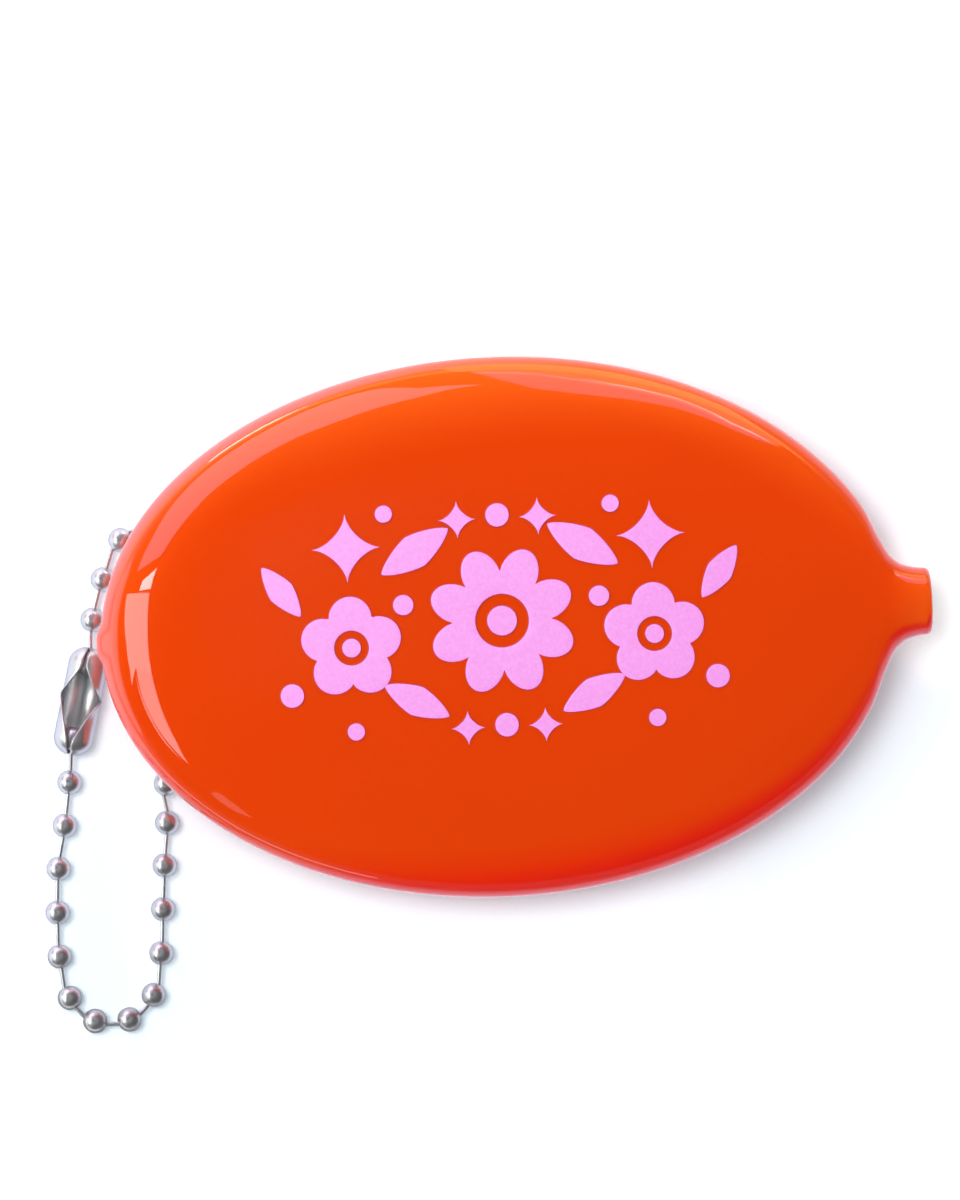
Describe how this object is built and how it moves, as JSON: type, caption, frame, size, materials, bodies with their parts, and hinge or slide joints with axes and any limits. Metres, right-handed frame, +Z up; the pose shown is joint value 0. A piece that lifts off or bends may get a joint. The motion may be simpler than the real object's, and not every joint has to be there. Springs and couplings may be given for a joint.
{
  "type": "squeeze coin pouch",
  "caption": "Oval squeeze coin pouch of glossy moulded vinyl with a slit in its back, a short open neck, and a ball chain loop with a sheet connector.",
  "frame": {"origin": "under the middle of the whole object's footprint, on the surface it lies on", "axes": "+X along the pouch towards its neck, +Z up out of its front, +Y across; the slit in the back faces -Z"},
  "size_m": [0.1166, 0.085, 0.019],
  "materials": {
    "vinyl": "glossy dip-moulded vinyl",
    "nickel": "bright nickel plate on steel"
  },
  "bodies": {
    "pouch": {"bead_01": "nickel", "bead_22": "nickel", "bead_23": "nickel", "bead_24": "nickel", "bead_25": "nickel", "bead_26": "nickel", "bead_27": "nickel", "link_21": "nickel", "link_22": "nickel", "link_23": "nickel", "link_24": "nickel", "link_25": "nickel", "link_26": "nickel", "shell": "vinyl"},
    "upper_lip": {"upper_lip": "vinyl"},
    "lower_lip": {"lower_lip": "vinyl"},
    "chain_loop": {"bead_02": "nickel", "bead_03": "nickel", "bead_04": "nickel", "bead_05": "nickel", "bead_06": "nickel", "bead_07": "nickel", "bead_08": "nickel", "bead_21": "nickel", "link_01": "nickel", "link_02": "nickel", "link_03": "nickel", "link_04": "nickel", "link_05": "nickel", "link_06": "nickel", "link_20": "nickel"},
    "connector": {"connector": "nickel"},
    "chain_row_2": {"bead_09": "nickel", "bead_20": "nickel", "link_07": "nickel", "link_19": "nickel"},
    "chain_row_3": {"bead_10": "nickel", "bead_19": "nickel", "link_08": "nickel", "link_18": "nickel"},
    "chain_row_4": {"bead_11": "nickel", "bead_18": "nickel", "link_09": "nickel", "link_17": "nickel"},
    "chain_row_5": {"bead_12": "nickel", "bead_17": "nickel", "link_10": "nickel", "link_16": "nickel"},
    "chain_row_6": {"bead_13": "nickel", "bead_16": "nickel", "link_11": "nickel", "link_15": "nickel"},
    "chain_end": {"bead_14": "nickel", "bead_15": "nickel", "link_12": "nickel", "link_13": "nickel", "link_14": "nickel"}
  },
  "joints": [
    {"name": "slit_open", "type": "hinge", "parent": "pouch", "child": "upper_lip", "pos_m": [0.00217, 0.02062, 0.0004], "axis": [1, 0, 0], "range_deg": [0, 50], "stiffness_Nm_per_rad": 0.03},
    {"name": "lower_lip_open", "type": "hinge", "parent": "pouch", "child": "lower_lip", "pos_m": [0.00217, -0.00538, 0.0004], "axis": [-1, 0, 0], "range_deg": [0, 50], "stiffness_Nm_per_rad": 0.03},
    {"name": "chain_swing", "type": "hinge", "parent": "pouch", "child": "chain_loop", "pos_m": [-0.03982, -0.0075, 0.00386], "axis": [0.0834, 0.996, -0.0327], "range_deg": [-42, 8]},
    {"name": "connector_turn", "type": "hinge", "parent": "chain_loop", "child": "connector", "pos_m": [-0.05234, 0.00059, 0.00225], "axis": [-0.2419, -0.9703, 0], "continuous": true},
    {"name": "chain_fold_1", "type": "hinge", "parent": "chain_loop", "child": "chain_row_2", "pos_m": [-0.05454, -0.01126, 0.00152], "axis": [0.9977, -0.0538, 0.0408], "range_deg": [-22, 22]},
    {"name": "chain_fold_2", "type": "hinge", "parent": "chain_row_2", "child": "chain_row_3", "pos_m": [-0.05546, -0.01683, 0.0016], "axis": [0.9998, -0.0198, -0.0082], "range_deg": [-22, 22]},
    {"name": "chain_fold_3", "type": "hinge", "parent": "chain_row_3", "child": "chain_row_4", "pos_m": [-0.05649, -0.02238, 0.0016], "axis": [0.9999, -0.0158, 0], "range_deg": [-22, 22]},
    {"name": "chain_fold_4", "type": "hinge", "parent": "chain_row_4", "child": "chain_row_5", "pos_m": [-0.05684, -0.02807, 0.0016], "axis": [0.9999, -0.0151, 0], "range_deg": [-22, 22]},
    {"name": "chain_fold_5", "type": "hinge", "parent": "chain_row_5", "child": "chain_row_6", "pos_m": [-0.05654, -0.03376, 0.0016], "axis": [0.9999, -0.0141, 0], "range_deg": [-22, 22]},
    {"name": "chain_fold_6", "type": "hinge", "parent": "chain_row_6", "child": "chain_end", "pos_m": [-0.05496, -0.03903, 0.0016], "axis": [0.9999, -0.0133, 0], "range_deg": [-22, 22]}
  ],
  "couplings": [
    {"joint": "lower_lip_open", "follows": "slit_open", "ratio": 1}
  ]
}
